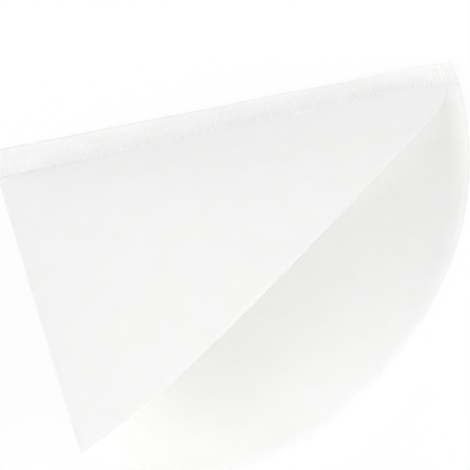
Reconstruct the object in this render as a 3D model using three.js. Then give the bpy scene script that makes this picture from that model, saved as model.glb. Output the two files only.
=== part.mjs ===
// A cone coffee filter: one folded sheet of paper, crimped shut along one side, lying on its back panel.
// Millimetres, +Z up. The tip points to -X, the mouth opens to +X, the crimped seam lies on the +Y side
// and the fold on the -Y side. Both panels are cones of straight rulings that start at the tip.
import * as THREE from "three";

// Sheet
const SLANT = 120; // from the tip to the mouth edge along the fold
const FOLD_SKEW = 1.9; // off-middle fold: at the seam the back is longer by this and the front shorter
const PANEL_ANGLE = 90; // degrees at the tip of one panel laid flat
const PLY = 0.25; // thickness of the paper

// How the two panels stand open, in degrees seen from the tip
const SEAM_LIFT = 1.55; // height of the seam crease above the table
const SEAM_CURL = 21.9; // width of the back panel that curls up to the seam
const FOLD_LIFT = 13.4; // height of the fold above the table
const FOLD_CURL = 32; // width of the back panel that curls up to the fold
const BULGE_LEAN = -0.04; // share of the front's bulge that leans to the seam
const BULGE_FLATNESS = 0.024; // share that flattens the top of the bulge

// Crimped strip along the seam, two plies thick
const CRIMP_WIDTH = 5.8; // pressed band beside the seam crease
const MARGIN_AT_TIP = 4.0; // plain paper outside the band
const MARGIN_AT_MOUTH = 1.5;
const STRIP_TILT_AT_TIP = 0; // degrees up from the table
const STRIP_TILT_AT_MOUTH = -5;
const RIB_PITCH = 1.13; // ribs across the band
const RIB_HEIGHT = 0.16;
const DIMPLE_EVERY = 2; // one rib in so many ends in raised dimples
const DIMPLE_HEIGHT = 0.2;
const DIMPLE_INSET = 0.55; // dimple row to the edge of the band

// Ends of the closed tip
const TIP_BLUNT = 1.2; // rulings start this far from the tip
const POCKET_START = 3.5; // the pocket opens this far from the tip

// Fineness of the faces
const PANEL_STEPS = 40; // across each panel
const PANEL_ROWS = 6; // from the tip to the mouth
const FOLD_STEPS = 3; // round the outside of the fold

const rad = THREE.MathUtils.degToRad;
const onSphere = (azimuth, elevation) => new THREE.Vector3(
  Math.cos(elevation) * Math.cos(azimuth),
  Math.cos(elevation) * Math.sin(azimuth),
  Math.sin(elevation),
);

// Elevation of the back panel: flat in its middle, curling up to each crease.
function backElevation(azimuth, half) {
  const toSeam = Math.max(0, azimuth - half + rad(SEAM_CURL)) / rad(SEAM_CURL);
  const toFold = Math.max(0, -azimuth - half + rad(FOLD_CURL)) / rad(FOLD_CURL);
  return rad(SEAM_LIFT) * toSeam ** 2 + rad(FOLD_LIFT) * toFold ** 2;
}

// Elevation of the front panel: a bulge of the given height on the line from the fold to the seam.
function frontElevation(azimuth, half, bulge) {
  const t = (azimuth + half) / (2 * half);
  const line = rad(FOLD_LIFT) + rad(SEAM_LIFT - FOLD_LIFT) * t;
  const lean = BULGE_LEAN * Math.sin(2 * Math.PI * t);
  const flatness = BULGE_FLATNESS * Math.sin(3 * Math.PI * t);
  return line + bulge * (Math.sin(Math.PI * t) + lean + flatness);
}

// Angle that a panel has when it is laid flat.
function flatAngle(elevation, half) {
  const steps = 400;
  let sum = 0;
  let last = onSphere(-half, elevation(-half));
  for (let i = 1; i <= steps; i++) {
    const azimuth = -half + (2 * half * i) / steps;
    const next = onSphere(azimuth, elevation(azimuth));
    sum += last.angleTo(next);
    last = next;
  }
  return sum;
}

// The value between low and high at which a growing function reaches the panel's flat angle.
function solve(measure, low, high) {
  for (let i = 0; i < 50; i++) {
    const middle = (low + high) / 2;
    if (measure(middle) < rad(PANEL_ANGLE)) low = middle;
    else high = middle;
  }
  return (low + high) / 2;
}

const half = solve((a) => flatAngle((az) => backElevation(az, a), a), rad(5), rad(PANEL_ANGLE));
const bulge = solve((b) => flatAngle((az) => frontElevation(az, half, b), half), 0, rad(85));
const panels = {
  back: (azimuth) => backElevation(azimuth, half),
  front: (azimuth) => frontElevation(azimuth, half, bulge),
};

// Ruling of a panel at an azimuth: its direction, the panel's upward normal and its speed across.
function ruling(panel, azimuth) {
  const step = 1e-4;
  const along = onSphere(azimuth, panels[panel](azimuth));
  const ahead = onSphere(azimuth + step, panels[panel](azimuth + step));
  const behind = onSphere(azimuth - step, panels[panel](azimuth - step));
  const across = ahead.sub(behind).divideScalar(2 * step);
  const speed = across.length();
  across.divideScalar(speed);
  return { along, across, speed, normal: along.clone().cross(across).normalize() };
}

// One crease: its direction and, for both panels, the way into the panel.
function crease(side) {
  const front = ruling("front", side * half);
  const back = ruling("back", side * half);
  const along = back.along;
  const intoFront = front.across.clone().multiplyScalar(-side);
  const intoBack = back.across.clone().multiplyScalar(-side);
  const inward = intoFront.clone().add(intoBack).normalize();
  const halfAngle = intoFront.angleTo(intoBack) / 2;
  const out = new THREE.Vector3(along.y, -along.x, 0).normalize().multiplyScalar(-side);
  const up = new THREE.Vector3().crossVectors(along, out).multiplyScalar(side).normalize();
  return { along, front, back, intoFront, inward, halfAngle, out, up };
}
const seam = crease(1);
const fold = crease(-1);

// Length of a ruling from the tip to the mouth edge. share is 0 at the seam and 1 at the fold.
function reach(panel, share) {
  const sign = panel === "back" ? 1 : -1;
  return SLANT + sign * FOLD_SKEW * (1 - share);
}
const stripReach = reach("back", 0);
const frontReach = reach("front", 0);

// Mesh under construction
const positions = [];
const faces = [];
function addPoint(vector) {
  positions.push(vector.x, vector.y, vector.z);
  return positions.length / 3 - 1;
}
function addTriangle(a, b, c) {
  faces.push(a, b, c);
}
function addQuad(a, b, c, d) {
  addTriangle(a, b, c);
  addTriangle(a, c, d);
}

// Faces between two columns of points that have different numbers of rows. rightSpan is the right column's
// length as a share of the left one's.
function zip(left, right, rightSpan = 1) {
  let i = 0;
  let j = 0;
  while (i < left.length - 1 || j < right.length - 1) {
    const nextLeft = (i + 1) / (left.length - 1);
    const nextRight = (rightSpan * (j + 1)) / (right.length - 1);
    if (j === right.length - 1 || (i < left.length - 1 && nextLeft <= nextRight)) {
      addTriangle(left[i], right[j], left[i + 1]);
      i++;
    } else {
      addTriangle(left[i], right[j], right[j + 1]);
      j++;
    }
  }
}
const first = (column) => column[0];
const last = (column) => column[column.length - 1];
const point = (origin, ...terms) => terms.reduce(
  (sum, [vector, length]) => sum.addScaledVector(vector, length),
  origin.clone(),
);
const ORIGIN = new THREE.Vector3();

// Strip frame at a distance along the seam: the way out and the upward normal.
function stripFrame(distance) {
  const tilt = rad(THREE.MathUtils.lerp(STRIP_TILT_AT_TIP, STRIP_TILT_AT_MOUTH, distance / SLANT));
  const out = point(ORIGIN, [seam.out, Math.cos(tilt)], [seam.up, Math.sin(tilt)]);
  const up = point(ORIGIN, [seam.out, -Math.sin(tilt)], [seam.up, Math.cos(tilt)]);
  return { out, up };
}
const stripWidth = (distance) => CRIMP_WIDTH
  + THREE.MathUtils.lerp(MARGIN_AT_TIP, MARGIN_AT_MOUTH, distance / SLANT);

// Where the front's outer skin meets the strip's top, measured from the seam crease.
function topCorner(distance) {
  const { out, up } = stripFrame(distance);
  const slope = Math.max(0.2, out.dot(seam.front.normal));
  const x = (PLY / 2 - 1.5 * PLY * up.dot(seam.front.normal)) / slope;
  return point(ORIGIN, [up, 1.5 * PLY], [out, Math.min(0, x)]);
}
const topCornerReach = Math.max(PLY, topCorner(0).dot(seam.intoFront));

// Strip rows: a rib has its crest on every even row.
const ribs = Math.max(2, Math.round(stripReach / RIB_PITCH));
const stripRows = 2 * ribs;
function ribRise(row, place) {
  if (place === "edge" || place === "crease") return 0;
  const crest = row % 2 === 0;
  const dimple = row % (2 * DIMPLE_EVERY) === 0;
  if (place === "middle") return crest ? RIB_HEIGHT : 0;
  return dimple ? RIB_HEIGHT + DIMPLE_HEIGHT : crest ? RIB_HEIGHT : 0;
}
const levelInset = 2.2 * DIMPLE_INSET; // a rib runs level from this far inside the band
const stripPlaces = [
  { name: "inner dimples", at: () => DIMPLE_INSET },
  { name: "middle", at: () => levelInset },
  { name: "middle", at: () => CRIMP_WIDTH - levelInset },
  { name: "outer dimples", at: () => CRIMP_WIDTH - DIMPLE_INSET },
  { name: "edge", at: () => CRIMP_WIDTH },
  { name: "edge", at: stripWidth },
];
function stripPoint(row, place, level) {
  const distance = (stripReach * row) / stripRows;
  const { out, up } = stripFrame(distance);
  const x = place.at(distance);
  const shorten = Math.sqrt(Math.max(0, 1 - (x / SLANT) ** 2));
  return point(
    ORIGIN,
    [seam.along, distance * shorten],
    [out, x],
    [up, level(distance) + ribRise(row, place.name)],
  );
}
function stripColumn(place, level) {
  const column = [];
  for (let row = 0; row <= stripRows; row++) column.push(addPoint(stripPoint(row, place, level)));
  return column;
}
function creaseColumn(offset, end) {
  const column = [];
  const rows = Math.round((stripRows * end) / stripReach);
  for (let row = 0; row <= rows; row++) {
    const distance = (end * row) / rows;
    column.push(addPoint(point(offset(distance), [seam.along, distance])));
  }
  return column;
}

// A column of a panel's skin. near and far keep the samples clear of the corners at the seam and the fold.
function skinColumn(panel, share, start, offset, near, far) {
  const column = [];
  for (let row = 0; row <= PANEL_ROWS; row++) {
    const distance = THREE.MathUtils.lerp(start, reach(panel, share), row / PANEL_ROWS);
    const from = half - near / (distance * ruling(panel, half).speed);
    const to = -half + far / (distance * ruling(panel, -half).speed);
    const line = ruling(panel, THREE.MathUtils.lerp(from, to, share));
    column.push(addPoint(point(ORIGIN, [line.along, distance], [line.normal, offset])));
  }
  return column;
}
function lineColumn(direction, offset, start, end) {
  const column = [];
  for (let row = 0; row <= PANEL_ROWS; row++) {
    const distance = THREE.MathUtils.lerp(start, end, row / PANEL_ROWS);
    column.push(addPoint(point(offset, [direction, distance])));
  }
  return column;
}

// Outer skin, from the seam under the back panel, round the fold and over the front panel to the seam.
// The strip's top is the front's ply as far as that reaches, and then the back's.
const bottomLevel = () => -PLY / 2;
const topLevel = (distance) => (distance <= frontReach ? 1.5 * PLY : PLY / 2);
const backCorner = (distance, offset) => stripFrame(distance).up
  .add(seam.back.normal)
  .normalize()
  .multiplyScalar(offset);
const stripBottom = stripPlaces.map((place) => stripColumn(place, bottomLevel));
const stripTop = stripPlaces.map((place) => stripColumn(place, topLevel));
const bottomCrease = creaseColumn((distance) => backCorner(distance, -PLY / 2), stripReach);
const topCrease = creaseColumn(topCorner, frontReach);
const backOuter = [];
const frontOuter = [];
for (let i = 1; i <= PANEL_STEPS; i++) {
  backOuter.push(skinColumn("back", i / PANEL_STEPS, TIP_BLUNT, -PLY / 2, 0, 0));
}
for (let i = PANEL_STEPS; i >= 1; i--) {
  frontOuter.push(skinColumn("front", i / PANEL_STEPS, TIP_BLUNT, PLY / 2, topCornerReach, 0));
}
const foldOuter = [];
const foldStart = fold.back.normal.clone().negate();
const foldTurn = foldStart.angleTo(fold.front.normal);
for (let i = 1; i < FOLD_STEPS; i++) {
  const turned = foldStart.clone().applyAxisAngle(fold.along, -(foldTurn * i) / FOLD_STEPS);
  foldOuter.push(lineColumn(fold.along, turned.multiplyScalar(PLY / 2), TIP_BLUNT, SLANT));
}
const outer = [
  ...[...stripBottom].reverse(),
  bottomCrease,
  ...backOuter,
  ...foldOuter,
  ...frontOuter,
  topCrease,
  ...stripTop,
];
outer.forEach((column, i) => {
  const next = outer[(i + 1) % outer.length];
  const span = column === topCrease ? frontReach / stripReach : 1;
  zip(next, column, span);
});

// Inner skin, the same way round.
const seamInset = PLY / 2 / Math.tan(seam.halfAngle);
const foldInset = PLY / 2 / Math.tan(fold.halfAngle);
const inCorner = (corner) => corner.inward.clone().multiplyScalar(PLY / 2 / Math.sin(corner.halfAngle));
const innerSeam = lineColumn(seam.along, inCorner(seam), POCKET_START, frontReach);
const innerFold = lineColumn(fold.along, inCorner(fold), POCKET_START, SLANT);
const backInner = [];
const frontInner = [];
for (let i = 1; i < PANEL_STEPS; i++) {
  backInner.push(skinColumn("back", i / PANEL_STEPS, POCKET_START, PLY / 2, seamInset, foldInset));
}
for (let i = PANEL_STEPS - 1; i >= 1; i--) {
  frontInner.push(skinColumn("front", i / PANEL_STEPS, POCKET_START, -PLY / 2, seamInset, foldInset));
}
const inner = [innerSeam, ...backInner, innerFold, ...frontInner];
inner.forEach((column, i) => zip(column, inner[(i + 1) % inner.length]));

// End of the strip, its two skins joined from the crease to the edge; flip turns the faces round.
function closeStrip(end, corner, flip) {
  const below = [bottomCrease, ...stripBottom].map(end);
  const above = [corner, ...stripTop.map(end)];
  for (let i = 0; i < below.length - 1; i++) {
    if (flip) addQuad(below[i], below[i + 1], above[i + 1], above[i]);
    else addQuad(below[i], above[i], above[i + 1], below[i + 1]);
  }
}
const ledge = addPoint(point(backCorner(stripReach, PLY / 2), [seam.along, stripReach]));
closeStrip(first, first(topCrease), false);
closeStrip(last, ledge, true);

// Closed tip
function fan(centre, loop) {
  const middle = addPoint(centre);
  loop.forEach((corner, i) => addTriangle(middle, corner, loop[(i + 1) % loop.length]));
}
const tipCentre = seam.along.clone().add(fold.along).normalize().multiplyScalar(PLY);
fan(tipCentre, [bottomCrease, ...backOuter, ...foldOuter, ...frontOuter, topCrease].map(first));

// Bottom of the pocket
const pocketLoop = inner.map(first);
const pocketCentre = new THREE.Vector3();
for (const index of pocketLoop) {
  pocketCentre.add(new THREE.Vector3().fromArray(positions, 3 * index));
}
fan(pocketCentre.divideScalar(pocketLoop.length), [...pocketLoop].reverse());

// Mouth rim, from the outer skin's edge to the inner skin's edge.
const rimOuter = [bottomCrease, ...backOuter, ...foldOuter, ...frontOuter, topCrease].map(last);
const rimInner = [
  ledge,
  ...backInner.map(last),
  ...[innerFold, ...foldOuter, innerFold].map(() => last(innerFold)),
  ...frontInner.map(last),
  last(innerSeam),
];
for (let i = 0; i < rimOuter.length - 1; i++) {
  addTriangle(rimOuter[i + 1], rimOuter[i], rimInner[i]);
  if (rimInner[i] !== rimInner[i + 1]) addTriangle(rimOuter[i + 1], rimInner[i], rimInner[i + 1]);
}

// Past the front's corner at the seam, the back's inner face runs on into the strip's top.
addTriangle(last(backInner[0]), ledge, last(innerSeam));
addTriangle(ledge, last(topCrease), last(innerSeam));
addTriangle(ledge, last(stripTop[0]), last(topCrease));

const geometry = new THREE.BufferGeometry();
geometry.setAttribute("position", new THREE.Float32BufferAttribute(positions, 3));
geometry.setIndex(faces);
geometry.computeVertexNormals();
geometry.computeBoundingBox();

const paper = new THREE.MeshStandardMaterial({ color: 0xf6f5f2, roughness: 0.95, metalness: 0 });
const filterPaper = new THREE.Mesh(geometry, paper);
filterPaper.name = "filter_paper";
const box = geometry.boundingBox;
filterPaper.position.set(-(box.min.x + box.max.x) / 2, -(box.min.y + box.max.y) / 2, -box.min.z);

const filter = new THREE.Group();
filter.add(filterPaper);

export default filter;
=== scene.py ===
import math

import bpy
from mathutils import Matrix, Vector, noise


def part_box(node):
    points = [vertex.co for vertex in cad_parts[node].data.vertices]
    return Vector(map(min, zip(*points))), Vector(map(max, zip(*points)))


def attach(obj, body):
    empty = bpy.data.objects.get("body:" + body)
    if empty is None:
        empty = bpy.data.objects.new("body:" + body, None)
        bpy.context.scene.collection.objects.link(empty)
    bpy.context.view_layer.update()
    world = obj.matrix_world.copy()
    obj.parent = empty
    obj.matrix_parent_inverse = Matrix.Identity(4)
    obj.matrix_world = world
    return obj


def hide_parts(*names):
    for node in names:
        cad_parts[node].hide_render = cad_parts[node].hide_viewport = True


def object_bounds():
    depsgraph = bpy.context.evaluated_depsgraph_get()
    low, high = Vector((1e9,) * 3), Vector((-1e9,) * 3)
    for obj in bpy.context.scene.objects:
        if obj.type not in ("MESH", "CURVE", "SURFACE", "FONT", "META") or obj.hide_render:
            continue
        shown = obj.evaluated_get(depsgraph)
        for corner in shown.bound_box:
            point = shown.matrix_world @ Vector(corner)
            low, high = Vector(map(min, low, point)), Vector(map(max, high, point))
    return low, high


# A cone coffee filter of crimped white paper, lying on its back panel with its mouth held open.
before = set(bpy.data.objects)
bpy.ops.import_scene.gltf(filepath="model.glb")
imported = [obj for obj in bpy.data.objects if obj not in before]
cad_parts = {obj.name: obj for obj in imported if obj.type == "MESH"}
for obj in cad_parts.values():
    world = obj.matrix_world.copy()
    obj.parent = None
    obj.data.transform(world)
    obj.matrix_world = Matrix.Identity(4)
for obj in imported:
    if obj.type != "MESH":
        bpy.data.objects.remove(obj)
cad_low, cad_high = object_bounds()

MM = 0.001
# Sizes are in millimetres, but for the floor's and the lamps', which are in metres.
SLANT = 120.0  # from the tip to the mouth edge along the fold
FOLD_SKEW = 1.9  # at the seam the back reaches past SLANT by this, and the front stops short of it
PANEL_ANGLE = math.radians(90)
PLY = 0.25
STRIP_TOP = 1.5 * PLY  # the front's outer face on the strip, from the middle of the back's ply
SEAM_LIFT = math.radians(1.55)
SEAM_CURL = math.radians(21.9)
FOLD_LIFT = math.radians(13.4)
FOLD_CURL = math.radians(32)
BULGE_LEAN = -0.04
BULGE_FLATNESS = 0.024
CRIMP_WIDTH = 5.8
MARGIN_AT_TIP = 4.0
MARGIN_AT_MOUTH = 1.5
STRIP_TILT_AT_TIP = math.radians(0)
STRIP_TILT_AT_MOUTH = math.radians(-5)
LEAST_SLOPE = 0.2  # holds the strip's top corner near the crease where the front is almost level with it
RIB_PITCH = 1.13
RIB_HEIGHT = 0.1
RIB_MEAN = 0.75  # share of RIB_HEIGHT, and more or less in some places
RIB_UNEVENNESS = 0.5
RIB_PATCH_LENGTH = 5
RIB_PATCH_WIDTH = 3
DIMPLE_HEIGHT = 0.13
DIMPLE_MEAN = 0.8  # share of DIMPLE_HEIGHT, and more or less at some dimples
DIMPLE_UNEVENNESS = 0.5
DIMPLE_WIDTH = 0.5
NEAR_ROW = 0.2  # the two rows of dimples, from the seam's crease
FAR_ROW = 4.4
FAR_DIMPLE_SHARE = 0.8  # of DIMPLE_HEIGHT
FAR_DIMPLE_WIDTH = 0.42
BAND_END = FAR_ROW + 0.3  # the ribs end here
BAND_END_WIDTH = 0.12
BAND_START_WIDTH = 0.25
DEEPEST_RIBS = 1.4  # the ribs are highest here, from the crease
DEEP_RIBS_WIDTH = 1.0
SHALLOW_RIBS = 0.6  # how deep they are at the band's edges
DEEP_RIBS = 1.2  # and how much deeper at DEEPEST_RIBS
CREASE_PLACE = 0.1  # the crease's own points rise as the strip does here
RIDGE_HEIGHT = 0.12  # the crimp's edge stands up as a low ridge on the seam
RIDGE_WIDTH = 0.6
GROOVE_DEPTH = 0.06  # and the front dips beside it
GROOVE_PLACE = 1.3
MARGIN_CURL = 0.1  # the paper outside the band stands a little off the table, more in some places
MARGIN_CURL_MEAN = 0.35
MARGIN_CURL_LENGTH = 17
TIP_BLUNT = 1.2
POCKET_START = 3.5
PANEL_STEPS = 110
PANEL_ROWS = 70
ROWS_PER_RIB = 8
FOLD_STEPS = 6
NEAR_SEAM_STEPS = [0.12, 0.24, 0.36, 0.5, 0.65, 0.8]  # more columns of the front beside the seam
NEAR_SEAM_ROWS = 6 * PANEL_ROWS
SHARP_ANGLE = math.radians(60)
WAVE = 0.12  # slight unevenness of the sheet
WAVE_LENGTH = 42
WAVES_ACROSS = 2.6  # for each radian
WAVE_RAMP = 5  # the waves are full from a fifth of the panel's width on
WIDE_WAVES = 2.2
FINE_WAVES = 0.7
FINE_TO_WIDE = 3.1  # fine waves to one wide wave
BACK_LIFT = 1.2
EDGE_WIDTH = 0.5  # the shears thin the mouth edge over this width
EDGE_SHARE = 0.25  # share of the thickness that is left at the edge
PUCKER = 0.06  # flutes that the crimp draws in the paper beside it
FLUTE_REACH = 1.3
FLUTE_END = 9  # no flutes are left at this distance from the crease

# Places in the noise, apart so that no two patterns are alike
FRONT_SEED = 0.0
BACK_SEED = 7.3
FINE_PLACE = (4.2, 1.7, 0)
RIB_SEED = 3.1
DIMPLE_SEED = 9.4
MARGIN_SEED = 5.5

# How much darker the paper's colour is painted: mostly painted shade, and below 0 painted highlights. 0 is
# plain paper, 1 is its colour times SHADE_TINT, and below 0 is lighter.
SHADE_TINT = (0.95, 0.951, 0.95, 1)
# The whole strip a little darker, the band more than its margin
CRIMP_SHADE = 0.7
MARGIN_SHADE = 0.5
TICK_SHADE = 0.3  # painted shade between the ribs, on top of CRIMP_SHADE
TICKS_PLACE = 1.7  # the middle of the painted shade between the ribs, from the crease
TICKS_WIDTH = 1.2
LEDGE_SHADE = 0.8  # painted shade beside the crease where the back's ply runs on past the front's corner
EDGE_SHADE = 3.0  # painted shade along the strip's cut edge
CUT_WIDTH = 0.1
MOUTH_SHADE = 1.7  # painted shade along the mouth edge
ROW_LIGHT = 0.3  # painted highlight along the near row, between its dimples too
# Painted highlights on the dimples of the near and far rows
NEAR_DOT_LIGHT = 1.6
NEAR_DOT_WIDTH = 0.45
FAR_DOT_LIGHT = 0.9
FAR_DOT_WIDTH = 0.5
FRONT_DOT_LIGHT = 0.8  # painted highlight where the near row's dimples run on into the front
FRONT_DOT_WIDTH = 0.4
# The most that the painted highlights lighten a point
LIGHTEST = -0.9


def lerp(a, b, t):
    return a + (b - a) * t


def on_sphere(azimuth, elevation):
    return Vector(
        (
            math.cos(elevation) * math.cos(azimuth),
            math.cos(elevation) * math.sin(azimuth),
            math.sin(elevation),
        )
    )


def back_elevation(azimuth, half):
    to_seam = max(0.0, azimuth - half + SEAM_CURL) / SEAM_CURL
    to_fold = max(0.0, -azimuth - half + FOLD_CURL) / FOLD_CURL
    return SEAM_LIFT * to_seam**2 + FOLD_LIFT * to_fold**2


def front_elevation(azimuth, half, bulge):
    t = (azimuth + half) / (2 * half)
    line = FOLD_LIFT + (SEAM_LIFT - FOLD_LIFT) * t
    lean = BULGE_LEAN * math.sin(2 * math.pi * t)
    flatness = BULGE_FLATNESS * math.sin(3 * math.pi * t)
    return line + bulge * (math.sin(math.pi * t) + lean + flatness)


def flat_angle(elevation, half):
    """The angle that a panel has at the tip when it is laid flat."""
    steps = 400
    total = 0.0
    last = on_sphere(-half, elevation(-half))
    for i in range(1, steps + 1):
        azimuth = -half + 2 * half * i / steps
        point = on_sphere(azimuth, elevation(azimuth))
        total += 2 * math.asin(min(1.0, (point - last).length / 2))
        last = point
    return total


def solve(measure, low, high):
    """The value between low and high that makes measure a panel's angle."""
    for _ in range(50):
        middle = (low + high) / 2
        if measure(middle) < PANEL_ANGLE:
            low = middle
        else:
            high = middle
    return (low + high) / 2


half = solve(lambda a: flat_angle(lambda az: back_elevation(az, a), a), 0.1, PANEL_ANGLE)
bulge = solve(lambda b: flat_angle(lambda az: front_elevation(az, half, b), half), 0.0, 1.48)


def elevation_of(panel, azimuth):
    if panel == "back":
        return back_elevation(azimuth, half)
    return front_elevation(azimuth, half, bulge)


rulings = {}


def ruling(panel, azimuth):
    """A ruling's direction, the way across it, its speed and the paper's normal."""
    key = (panel, round(azimuth, 6))
    if key not in rulings:
        step = 1e-4
        along = on_sphere(azimuth, elevation_of(panel, azimuth))
        ahead = on_sphere(azimuth + step, elevation_of(panel, azimuth + step))
        behind = on_sphere(azimuth - step, elevation_of(panel, azimuth - step))
        across = (ahead - behind) / (2 * step)
        speed = across.length
        across = across / speed
        rulings[key] = (along, across, speed, along.cross(across).normalized())
    return rulings[key]


class Crease:
    """A crease's direction, the way into the pocket, and half the angle between the panels."""

    def __init__(self, side):
        self.along, front_across, _, self.front_normal = ruling("front", side * half)
        _, back_across, _, self.back_normal = ruling("back", side * half)
        self.into_front = -side * front_across
        into_back = -side * back_across
        self.inward = (self.into_front + into_back).normalized()
        self.half_angle = self.into_front.angle(into_back) / 2
        self.out = -side * Vector((self.along.y, -self.along.x, 0)).normalized()
        self.up = (side * self.along.cross(self.out)).normalized()


seam = Crease(1)
fold = Crease(-1)


def reach(panel, share):
    """Length of a ruling from the tip to the mouth edge. share is 0 at the seam and 1 at the fold."""
    sign = 1 if panel == "back" else -1
    return SLANT + sign * FOLD_SKEW * (1 - share)


STRIP_REACH = reach("back", 0)
FRONT_REACH = reach("front", 0)


def strip_frame(distance):
    """The ways out across the strip and up from it."""
    tilt = lerp(STRIP_TILT_AT_TIP, STRIP_TILT_AT_MOUTH, distance / SLANT)
    out = seam.out * math.cos(tilt) + seam.up * math.sin(tilt)
    up = -seam.out * math.sin(tilt) + seam.up * math.cos(tilt)
    return out, up


def top_corner(distance):
    """From the crease to where the strip's top meets the front's outer face."""
    out, up = strip_frame(distance)
    slope = max(LEAST_SLOPE, out.dot(seam.front_normal))
    x = (PLY / 2 - STRIP_TOP * up.dot(seam.front_normal)) / slope
    return up * STRIP_TOP + out * min(0.0, x)


corner_reach = max(PLY, top_corner(0).dot(seam.into_front))

verts = []
flats = []  # place of each point on the flat sheet
shades = []  # how much darker each point is painted: painted shade, and below 0 painted highlight
faces = []


def add_point(point, flat, shade=0.0):
    verts.append(point)
    flats.append(flat)
    shades.append(shade)
    return len(verts) - 1


def zip_columns(left, right):
    """Faces between two columns, which can have different numbers of points."""
    i = j = 0
    while i < len(left) - 1 or j < len(right) - 1:
        next_left = (i + 1) / (len(left) - 1) if i < len(left) - 1 else math.inf
        next_right = (j + 1) / (len(right) - 1) if j < len(right) - 1 else math.inf
        if abs(next_left - next_right) < 1e-9:
            faces.append((left[i], right[j], right[j + 1], left[i + 1]))
            i += 1
            j += 1
        elif next_left < next_right:
            faces.append((left[i], right[j], left[i + 1]))
            i += 1
        else:
            faces.append((left[i], right[j], right[j + 1]))
            j += 1


def unevenness(panel, distance, azimuth):
    """Slight waves of the sheet: none at the tip and the creases, more towards the mouth."""
    t = (azimuth + half) / (2 * half)
    room = min(1.0, WAVE_RAMP * min(t, 1 - t)) * (distance / SLANT)
    seed = FRONT_SEED if panel == "front" else BACK_SEED
    place = Vector((distance / WAVE_LENGTH, azimuth * WAVES_ACROSS, seed))
    wide = noise.noise(place)
    fine = noise.noise(place * FINE_TO_WIDE + Vector(FINE_PLACE))
    wave = WIDE_WAVES * wide + FINE_WAVES * fine
    if panel == "back":
        wave = max(0.0, BACK_LIFT + wave)  # the back lies on the table
    return WAVE * room * wave


def bell(x, middle, width):
    return math.exp(-(((x - middle) / width) ** 2))


def at_dimple(distance):
    """1 where a rib ends in a dimple, and 0 at the next rib, which has none."""
    return max(0.0, math.cos(math.pi * distance / RIB_PITCH))


def fade(distance):
    """1 along the seam, and 0 at the front's corner, where the dimples and the ridge end."""
    return min(1.0, max(0.0, (FRONT_REACH - distance) / RIB_PITCH))


def pucker(distance, from_crease, dimpled):
    """The crimp draws flutes in the front beside it. Its ridge and its dimples run on into the front."""
    if from_crease > FLUTE_END:
        return 0.0
    flutes = PUCKER * math.cos(math.pi * distance / RIB_PITCH) * math.exp(-from_crease / FLUTE_REACH)
    dimples = 0.0
    if dimpled:
        dimples = DIMPLE_HEIGHT * at_dimple(distance) ** 3 * bell(from_crease, 0, DIMPLE_WIDTH)
    return flutes + fade(distance) * (dimples + ridge(from_crease))


def ridge(from_crease):
    groove = GROOVE_DEPTH * bell(from_crease, GROOVE_PLACE, RIDGE_WIDTH)
    return RIDGE_HEIGHT * bell(from_crease, 0, RIDGE_WIDTH) - groove


def panel_row(start, end, row, rows):
    """Distance of a row from the tip, and the share of the paper's thickness there."""
    if row == rows:
        return end, EDGE_SHARE
    return lerp(start, end - EDGE_WIDTH, row / (rows - 1)), 1.0


def skin_column(panel, share, start, offset, near, far, rows=PANEL_ROWS):
    """Points along a ruling. near and far are the gaps to the seam and to the fold."""
    column = []
    dimpled = panel == "front" and offset > 0
    for row in range(rows + 1):
        distance, thickness = panel_row(start, reach(panel, share), row, rows)
        low = half - near / (distance * ruling(panel, half)[2])
        high = -half + far / (distance * ruling(panel, -half)[2])
        azimuth = lerp(low, high, share)
        along, _, speed, normal = ruling(panel, azimuth)
        lift = unevenness(panel, distance, azimuth)
        from_crease = max(0.0, (half - azimuth) * distance * speed - corner_reach)
        if panel == "front":
            lift += pucker(distance, from_crease, dimpled)
        flat_azimuth = azimuth if panel == "back" else 2 * half - azimuth
        flat = (distance * math.cos(flat_azimuth), distance * math.sin(flat_azimuth))
        # Painted shade along the mouth edge, and painted highlights where the near row's dimples run on into
        # the front
        shade = MOUTH_SHADE if row == rows else 0.0
        if dimpled and row < rows and distance < FRONT_REACH - RIB_PITCH:
            shade = -FRONT_DOT_LIGHT * at_dimple(distance) ** 2 * bell(from_crease, 0, FRONT_DOT_WIDTH)
        column.append(add_point(along * distance + normal * (offset * thickness + lift), flat, shade))
    return column


def line_column(along, offset, start, end, angle):
    """Points along a crease or round the fold. angle is its place on the flat sheet."""
    column = []
    for row in range(PANEL_ROWS + 1):
        distance, thickness = panel_row(start, end, row, PANEL_ROWS)
        flat = (distance * math.cos(angle), distance * math.sin(angle))
        column.append(add_point(along * distance + offset * thickness, flat))
    return column


ribs = round(STRIP_REACH / RIB_PITCH)
strip_rows = ribs * ROWS_PER_RIB


def rib_rise(distance, x):
    """Ribs across the pressed band, with a row of raised dimples at each edge of it."""
    wave = 0.5 + 0.5 * math.cos(2 * math.pi * distance / RIB_PITCH)
    in_band = 1 / (1 + math.exp(-(BAND_END - x) / BAND_END_WIDTH)) * (1 - math.exp(-x / BAND_START_WIDTH))
    patch = noise.noise(Vector((distance / RIB_PATCH_LENGTH, x / RIB_PATCH_WIDTH, RIB_SEED)))
    uneven = RIB_MEAN + RIB_UNEVENNESS * patch
    deep = SHALLOW_RIBS + DEEP_RIBS * bell(x, DEEPEST_RIBS, DEEP_RIBS_WIDTH)
    rib = RIB_HEIGHT * wave * in_band * uneven * deep
    crest = fade(distance) * RIDGE_HEIGHT * bell(x, 0, RIDGE_WIDTH)
    near_row = fade(distance) * bell(x, NEAR_ROW, DIMPLE_WIDTH)
    far_row = FAR_DIMPLE_SHARE * bell(x, FAR_ROW, FAR_DIMPLE_WIDTH)
    own = noise.noise(Vector((distance / (2 * RIB_PITCH), x, DIMPLE_SEED)))
    strong = DIMPLE_MEAN + DIMPLE_UNEVENNESS * own
    return rib + crest + DIMPLE_HEIGHT * at_dimple(distance) ** 3 * (near_row + far_row) * strong


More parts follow.
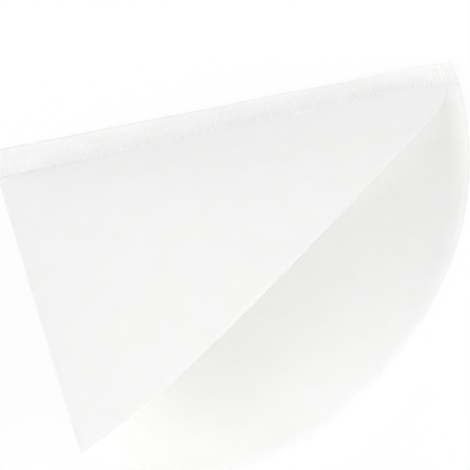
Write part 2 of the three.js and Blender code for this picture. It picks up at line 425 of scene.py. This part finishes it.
def crimp_shade(distance, x):
    """Painted highlights make the strip lighter than plain paper on its dimples, and painted shade makes it
    darkest between its ribs, at its cut edge and beside the ledge.
    """
    near_row = bell(x, NEAR_ROW, NEAR_DOT_WIDTH)
    far_row = bell(x, FAR_ROW, FAR_DOT_WIDTH)
    dot = at_dimple(distance) ** 2
    between_ribs = 0.5 - 0.5 * math.cos(2 * math.pi * distance / RIB_PITCH)
    shade = CRIMP_SHADE if x <= CRIMP_WIDTH else MARGIN_SHADE
    if x > strip_width(distance) - CUT_WIDTH:
        shade = EDGE_SHADE
    if distance > FRONT_REACH - RIB_PITCH:
        return shade + LEDGE_SHADE * near_row
    light = (ROW_LIGHT + NEAR_DOT_LIGHT * dot) * near_row + FAR_DOT_LIGHT * dot * far_row
    ticks = TICK_SHADE * between_ribs * bell(x, TICKS_PLACE, TICKS_WIDTH)
    return max(LIGHTEST, shade + ticks - light)


def strip_width(distance):
    return CRIMP_WIDTH + lerp(MARGIN_AT_TIP, MARGIN_AT_MOUTH, distance / SLANT)


# Places across the strip: distances from the crease in the band, and shares of the margin outside it.
BAND_PLACES = [0.2, 0.4, 0.6, 0.85, 1.15, 1.6, 2.2, 2.9, 3.5, 3.9, 4.15, 4.4, 4.65, 4.9, 5.3, 5.8]
MARGIN_PLACES = [0.5, 0.8, 1.0]


def bottom_level(distance):
    return -PLY / 2


def top_level(distance):
    """The strip's top is the front's ply as far as that reaches, and then the back's."""
    return STRIP_TOP if distance <= FRONT_REACH else PLY / 2


def strip_column(place, level):
    """Points along the strip. Past CRIMP_WIDTH, place counts in shares of the margin."""
    column = []
    for row in range(strip_rows + 1):
        distance = STRIP_REACH * row / strip_rows
        out, up = strip_frame(distance)
        width = strip_width(distance)
        x = place if place <= CRIMP_WIDTH else lerp(CRIMP_WIDTH, width, place - CRIMP_WIDTH)
        shorten = math.sqrt(max(0.0, 1 - (x / SLANT) ** 2))
        rise = level(distance) + rib_rise(distance, x)
        loose = max(0.0, x - CRIMP_WIDTH)
        curl = MARGIN_CURL_MEAN + noise.noise(Vector((distance / MARGIN_CURL_LENGTH, 0, MARGIN_SEED)))
        rise += MARGIN_CURL * loose * curl
        point = seam.along * distance * shorten + out * x + up * rise
        flat_along = distance * math.cos(half) - x * math.sin(half)
        flat_across = distance * math.sin(half) + x * math.cos(half)
        column.append(add_point(point, (flat_along, flat_across), crimp_shade(distance, x)))
    return column


def crease_column(offset):
    """Points along the seam's crease, as far from its line as offset says."""
    column = []
    for row in range(strip_rows + 1):
        distance = STRIP_REACH * row / strip_rows
        point = seam.along * distance + offset(distance)
        point += strip_frame(distance)[1] * rib_rise(distance, CREASE_PLACE)
        flat = (distance * math.cos(half), distance * math.sin(half))
        column.append(add_point(point, flat, crimp_shade(distance, 0)))
    return column


def back_corner(distance, offset):
    """From the crease to where a face of the strip meets that of the back."""
    return (strip_frame(distance)[1] + seam.back_normal).normalized() * offset


places = BAND_PLACES + [CRIMP_WIDTH + share for share in MARGIN_PLACES]
strip_bottom = [strip_column(place, bottom_level) for place in places]
strip_top = [strip_column(place, top_level) for place in places]
bottom_crease = crease_column(lambda distance: back_corner(distance, -PLY / 2))
whole_crease = crease_column(
    lambda distance: top_corner(distance) if distance <= FRONT_REACH else back_corner(distance, PLY / 2)
)
front_end = math.floor(strip_rows * FRONT_REACH / STRIP_REACH)
top_crease = whole_crease[: front_end + 1]
outer_steps = range(1, PANEL_STEPS + 1)
back_outer = [skin_column("back", i / PANEL_STEPS, TIP_BLUNT, -PLY / 2, 0, 0) for i in outer_steps]
front_outer = []
for step in reversed(NEAR_SEAM_STEPS + list(outer_steps)):
    rows = NEAR_SEAM_ROWS if step <= 1 else PANEL_ROWS
    front_outer.append(skin_column("front", step / PANEL_STEPS, TIP_BLUNT, PLY / 2, corner_reach, 0, rows))
fold_outer = []
fold_start = -fold.back_normal
fold_turn = fold_start.angle(fold.front_normal)
for i in range(1, FOLD_STEPS):
    turned = Matrix.Rotation(-fold_turn * i / FOLD_STEPS, 3, fold.along) @ fold_start
    fold_outer.append(line_column(fold.along, turned * PLY / 2, TIP_BLUNT, SLANT, -half))
outer = strip_bottom[::-1] + [bottom_crease] + back_outer + fold_outer + front_outer + [top_crease]
for i in range(len(outer) - 1):
    zip_columns(outer[i + 1], outer[i])
strip_skin = [whole_crease] + strip_top + [strip_bottom[-1]]
for i in range(len(strip_skin) - 1):
    zip_columns(strip_skin[i + 1], strip_skin[i])

seam_inset = PLY / 2 / math.tan(seam.half_angle)
fold_inset = PLY / 2 / math.tan(fold.half_angle)
seam_corner = seam.inward * (PLY / 2 / math.sin(seam.half_angle))
fold_corner = fold.inward * (PLY / 2 / math.sin(fold.half_angle))
inner_seam = line_column(seam.along, seam_corner, POCKET_START, FRONT_REACH, half)
inner_fold = line_column(fold.along, fold_corner, POCKET_START, SLANT, -half)
inner_steps = range(1, PANEL_STEPS)
back_inner = [
    skin_column("back", i / PANEL_STEPS, POCKET_START, PLY / 2, seam_inset, fold_inset)
    for i in inner_steps
]
front_inner = [
    skin_column("front", i / PANEL_STEPS, POCKET_START, -PLY / 2, seam_inset, fold_inset)
    for i in reversed(inner_steps)
]
inner = [inner_seam] + back_inner + [inner_fold] + front_inner
for i, column in enumerate(inner):
    zip_columns(column, inner[(i + 1) % len(inner)])


def close_strip(end, corner, flip):
    """Closes the strip's cut at its tip or mouth end."""
    below = [column[end] for column in [bottom_crease] + strip_bottom]
    above = [corner] + [column[end] for column in strip_top]
    for i in range(len(below) - 1):
        quad = (below[i], above[i], above[i + 1], below[i + 1])
        faces.append(quad[::-1] if flip else quad)


ledge = whole_crease[-1]
close_strip(0, top_crease[0], False)
close_strip(-1, ledge, True)


def fan(centre, loop):
    """Closes a loop of points with a fan of faces."""
    middle = add_point(centre, (0, 0))
    for i, corner in enumerate(loop):
        faces.append((middle, corner, loop[(i + 1) % len(loop)]))


round_tip = [bottom_crease] + back_outer + fold_outer + front_outer + [top_crease]
fan((seam.along + fold.along).normalized() * PLY, [column[0] for column in round_tip])
pocket_loop = [column[0] for column in inner]
pocket_centre = sum((verts[i] for i in pocket_loop), Vector()) / len(pocket_loop)
fan(pocket_centre, pocket_loop[::-1])

rim_outer = [column[-1] for column in round_tip]
fold_inner = [inner_fold] * (len(fold_outer) + 2)
seam_inner = [inner_seam] * (len(NEAR_SEAM_STEPS) + 1)
rim_inner = [column[-1] for column in back_inner + fold_inner + front_inner + seam_inner]
rim_inner.insert(0, ledge)
for i in range(len(rim_outer) - 1):
    if rim_inner[i] == rim_inner[i + 1]:
        faces.append((rim_outer[i + 1], rim_outer[i], rim_inner[i]))
    else:
        faces.append((rim_outer[i + 1], rim_outer[i], rim_inner[i], rim_inner[i + 1]))

# Past the front's corner at the seam, the back's inner face runs on into the strip's top.
faces.append((back_inner[0][-1], ledge, inner_seam[-1]))
for i in range(front_end, strip_rows):
    faces.append((whole_crease[i + 1], whole_crease[i], inner_seam[-1]))

# The tip's place in the row's frame: the sheet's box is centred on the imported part's, and the flat part
# of its back lies on the table.
node_low, node_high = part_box("filter_paper")


def own_middle(axis):
    values = [point[axis] for point in verts]
    return (min(values) + max(values)) / 2


tip = Vector(
    (
        (node_low[0] + node_high[0]) / 2 / MM - own_middle(0),
        (node_low[1] + node_high[1]) / 2 / MM - own_middle(1),
        PLY / 2,
    )
)

mesh = bpy.data.meshes.new("paper_sheet")
mesh.from_pydata([(p + tip) * MM for p in verts], [], faces)
mesh.validate()
mesh.shade_smooth()
mesh.set_sharp_from_angle(angle=SHARP_ANGLE)
layer = mesh.uv_layers.new(name="flat_sheet")
for loop in mesh.loops:
    u, v = flats[loop.vertex_index]
    layer.data[loop.index].uv = (u / SLANT * 0.5 + 0.5, v / SLANT * 0.5 + 0.5)
# Painted shade and painted highlights of each point, for the paper's colour
shade_layer = mesh.attributes.new("shade", "FLOAT", "POINT")
shade_layer.data.foreach_set("value", shades)
sheet = bpy.data.objects.new("paper_sheet", mesh)
bpy.context.scene.collection.objects.link(sheet)
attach(sheet, "root")
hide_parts("filter_paper")


def node(tree, kind, **sockets):
    """A new shader node with its inputs' values."""
    made = tree.nodes.new(kind)
    for name, value in sockets.items():
        made.inputs[name.replace("_", " ")].default_value = value
    return made


def crepe_paper():
    """White filter paper: matt, faintly mottled, with short crepe wrinkles and fibres."""
    material = bpy.data.materials.new("white_crepe_paper")
    material.use_nodes = True
    tree = material.node_tree
    link = tree.links.new
    shader = tree.nodes["Principled BSDF"]
    shader.inputs["Roughness"].default_value = 0.95
    shader.inputs["Specular IOR Level"].default_value = 0.15
    shader.inputs["Subsurface Weight"].default_value = 0.3
    shader.inputs["Subsurface Radius"].default_value = (1.0, 0.98, 0.9)
    shader.inputs["Subsurface Scale"].default_value = 0.0008

    place = tree.nodes.new("ShaderNodeTexCoord")
    turn = tree.nodes.new("ShaderNodeMapping")
    turn.inputs["Rotation"].default_value = (0, 0, math.radians(55))
    turn.inputs["Scale"].default_value = (1.0, 0.5, 1.0)
    link(place.outputs["Object"], turn.inputs["Vector"])

    wrinkles = node(tree, "ShaderNodeTexNoise", Scale=1700.0, Detail=3.0, Roughness=0.55)
    link(turn.outputs["Vector"], wrinkles.inputs["Vector"])
    fibres = node(tree, "ShaderNodeTexNoise", Scale=2600.0, Detail=2.0, Roughness=0.6)
    link(place.outputs["Object"], fibres.inputs["Vector"])
    cloud = node(tree, "ShaderNodeTexNoise", Scale=120.0, Detail=3.0, Roughness=0.5)
    link(place.outputs["Object"], cloud.inputs["Vector"])

    tone = tree.nodes.new("ShaderNodeValToRGB")
    tone.color_ramp.elements[0].position = 0.35
    tone.color_ramp.elements[0].color = (0.94, 0.937, 0.927, 1)
    tone.color_ramp.elements[1].position = 0.65
    tone.color_ramp.elements[1].color = (0.96, 0.958, 0.95, 1)
    link(cloud.outputs["Fac"], tone.inputs["Fac"])
    # Painted shade darkens the paper's colour and painted highlights lighten it, from the sheet's shade
    # attribute
    shade = tree.nodes.new("ShaderNodeAttribute")
    shade.attribute_name = "shade"
    tint = tree.nodes.new("ShaderNodeMix")
    tint.data_type = "RGBA"
    tint.blend_type = "MULTIPLY"
    tint.clamp_factor = False
    factor, colour_a, colour_b = tint.inputs[0], tint.inputs[6], tint.inputs[7]
    colour_b.default_value = SHADE_TINT
    link(shade.outputs["Fac"], factor)
    link(tone.outputs["Color"], colour_a)
    link(tint.outputs[2], shader.inputs["Base Color"])

    first = tree.nodes.new("ShaderNodeBump")
    first.inputs["Strength"].default_value = 0.5
    first.inputs["Distance"].default_value = 0.00016
    link(wrinkles.outputs["Fac"], first.inputs["Height"])
    second = tree.nodes.new("ShaderNodeBump")
    second.inputs["Strength"].default_value = 0.35
    second.inputs["Distance"].default_value = 0.0001
    link(fibres.outputs["Fac"], second.inputs["Height"])
    link(first.outputs["Normal"], second.inputs["Normal"])
    link(second.outputs["Normal"], shader.inputs["Normal"])
    return material


mesh.materials.append(crepe_paper())


def plain_white(tree, shaded, share):
    """A mix of a shaded surface with what is linked next, where the camera sees it or it is mirrored."""
    link = tree.links.new
    path = tree.nodes.new("ShaderNodeLightPath")
    seen = tree.nodes.new("ShaderNodeMath")
    seen.operation = "MAXIMUM"
    link(path.outputs["Is Camera Ray"], seen.inputs[0])
    link(path.outputs["Is Glossy Ray"], seen.inputs[1])
    also = tree.nodes.new("ShaderNodeMath")
    also.operation = "MAXIMUM"
    link(seen.outputs[0], also.inputs[0])
    link(path.outputs["Is Transmission Ray"], also.inputs[1])
    amount = tree.nodes.new("ShaderNodeMath")
    amount.operation = "MULTIPLY"
    amount.inputs[1].default_value = share
    link(also.outputs[0], amount.inputs[0])
    mix = tree.nodes.new("ShaderNodeMixShader")
    link(amount.outputs[0], mix.inputs["Fac"])
    link(shaded, mix.inputs[1])
    return mix


# A pale floor, mostly white to the camera, that keeps the filter's shadow
FLOOR_REACH = 4  # from the origin to each side
FLOOR_DROP = 0.0001
FLOOR_WHITE = 0.85
floor_corners = [(x * FLOOR_REACH, y * FLOOR_REACH, 0) for x, y in ((-1, -1), (1, -1), (1, 1), (-1, 1))]
floor_mesh = bpy.data.meshes.new("floor")
floor_mesh.from_pydata(floor_corners, [], [(0, 1, 2, 3)])
floor = bpy.data.objects.new("floor", floor_mesh)
floor.location.z = -FLOOR_DROP
bpy.context.scene.collection.objects.link(floor)
floor_material = bpy.data.materials.new("pale_floor")
floor_material.use_nodes = True
floor_tree = floor_material.node_tree
floor_shader = floor_tree.nodes["Principled BSDF"]
floor_shader.inputs["Base Color"].default_value = (0.97, 0.97, 0.97, 1)
floor_shader.inputs["Roughness"].default_value = 0.9
floor_shader.inputs["Specular IOR Level"].default_value = 0.1
floor_white = floor_tree.nodes.new("ShaderNodeEmission")
floor_white.inputs["Strength"].default_value = 1.0
floor_mix = plain_white(floor_tree, floor_shader.outputs["BSDF"], FLOOR_WHITE)
floor_tree.links.new(floor_white.outputs[0], floor_mix.inputs[2])
floor_tree.links.new(floor_mix.outputs[0], floor_tree.nodes["Material Output"].inputs["Surface"])
floor_mesh.materials.append(floor_material)

# World: plain soft light, seen as white
AMBIENT = 0.28
scene = bpy.context.scene
world = bpy.data.worlds.new("studio")
scene.world = world
world.use_nodes = True
world_tree = world.node_tree
ambient = world_tree.nodes["Background"]
ambient.inputs["Color"].default_value = (1.0, 1.0, 1.0, 1)
ambient.inputs["Strength"].default_value = AMBIENT
backdrop = world_tree.nodes.new("ShaderNodeBackground")
backdrop.inputs["Color"].default_value = (1, 1, 1, 1)
backdrop.inputs["Strength"].default_value = 1.0
world_mix = plain_white(world_tree, ambient.outputs[0], 1.0)
world_tree.links.new(backdrop.outputs[0], world_mix.inputs[2])
world_tree.links.new(world_mix.outputs[0], world_tree.nodes["World Output"].inputs["Surface"])

# Camera: a long lens above the mouth's near side. The tip shows at TIP_PIXEL of an IMAGE pixels wide frame.
IMAGE = 470
TIP_PIXEL = (-1.80, 178.63)
PIXELS_PER_SLANT = 464.65  # at the tip's distance
CAMERA_DISTANCE = 7.933 * SLANT  # from the tip, along the view
SENSOR = 36
camera_back = Vector((0.41215, -0.51865, 0.74909)).normalized()
camera_right = Vector((0.83724, 0.53989, -0.08684))
camera_right = (camera_right - camera_back * camera_right.dot(camera_back)).normalized()
camera_up = camera_back.cross(camera_right)
mm_per_pixel = SLANT / PIXELS_PER_SLANT
camera_place = tip + camera_back * CAMERA_DISTANCE
camera_place += camera_right * (IMAGE / 2 - TIP_PIXEL[0]) * mm_per_pixel
camera_place -= camera_up * (IMAGE / 2 - TIP_PIXEL[1]) * mm_per_pixel
camera = bpy.data.objects.new("camera", bpy.data.cameras.new("camera"))
camera_turn = Matrix((camera_right, camera_up, camera_back)).transposed().to_4x4()
camera.matrix_world = Matrix.Translation(camera_place * MM) @ camera_turn
camera.data.sensor_width = SENSOR
camera.data.lens = SENSOR * CAMERA_DISTANCE / (IMAGE * mm_per_pixel)
camera.data.clip_end = 50
scene.collection.objects.link(camera)
scene.camera = camera

LAMP_DISTANCE = 1.6
LAMP_SIZE = 1.2
LAMPS = {
    # name: (degrees from +X towards +Y, degrees above the floor, watts)
    "mouth_side": (0, 28, 17.5),
    "seam_side": (135, 28, 12.8),
    "fold_side": (270, 28, 11.0),
    "fold_side_high": (270, 58, 3.6),
}


def area_light(name, turn, rise, power):
    """A large soft disc of light that looks at the middle of the filter."""
    lamp = bpy.data.lights.new(name, "AREA")
    lamp.shape = "DISK"
    lamp.size = LAMP_SIZE
    lamp.energy = power
    direction = on_sphere(math.radians(turn), math.radians(rise))
    lamp_object = bpy.data.objects.new(name, lamp)
    lamp_object.location = frame_middle + direction * LAMP_DISTANCE
    lamp_object.rotation_euler = direction.to_track_quat("Z", "Y").to_euler()
    scene.collection.objects.link(lamp_object)


frame_middle = (Vector(cad_low) + Vector(cad_high)) / 2
for lamp_name, (turn, rise, power) in LAMPS.items():
    area_light(lamp_name, turn, rise, power)

scene.view_settings.view_transform = "Standard"
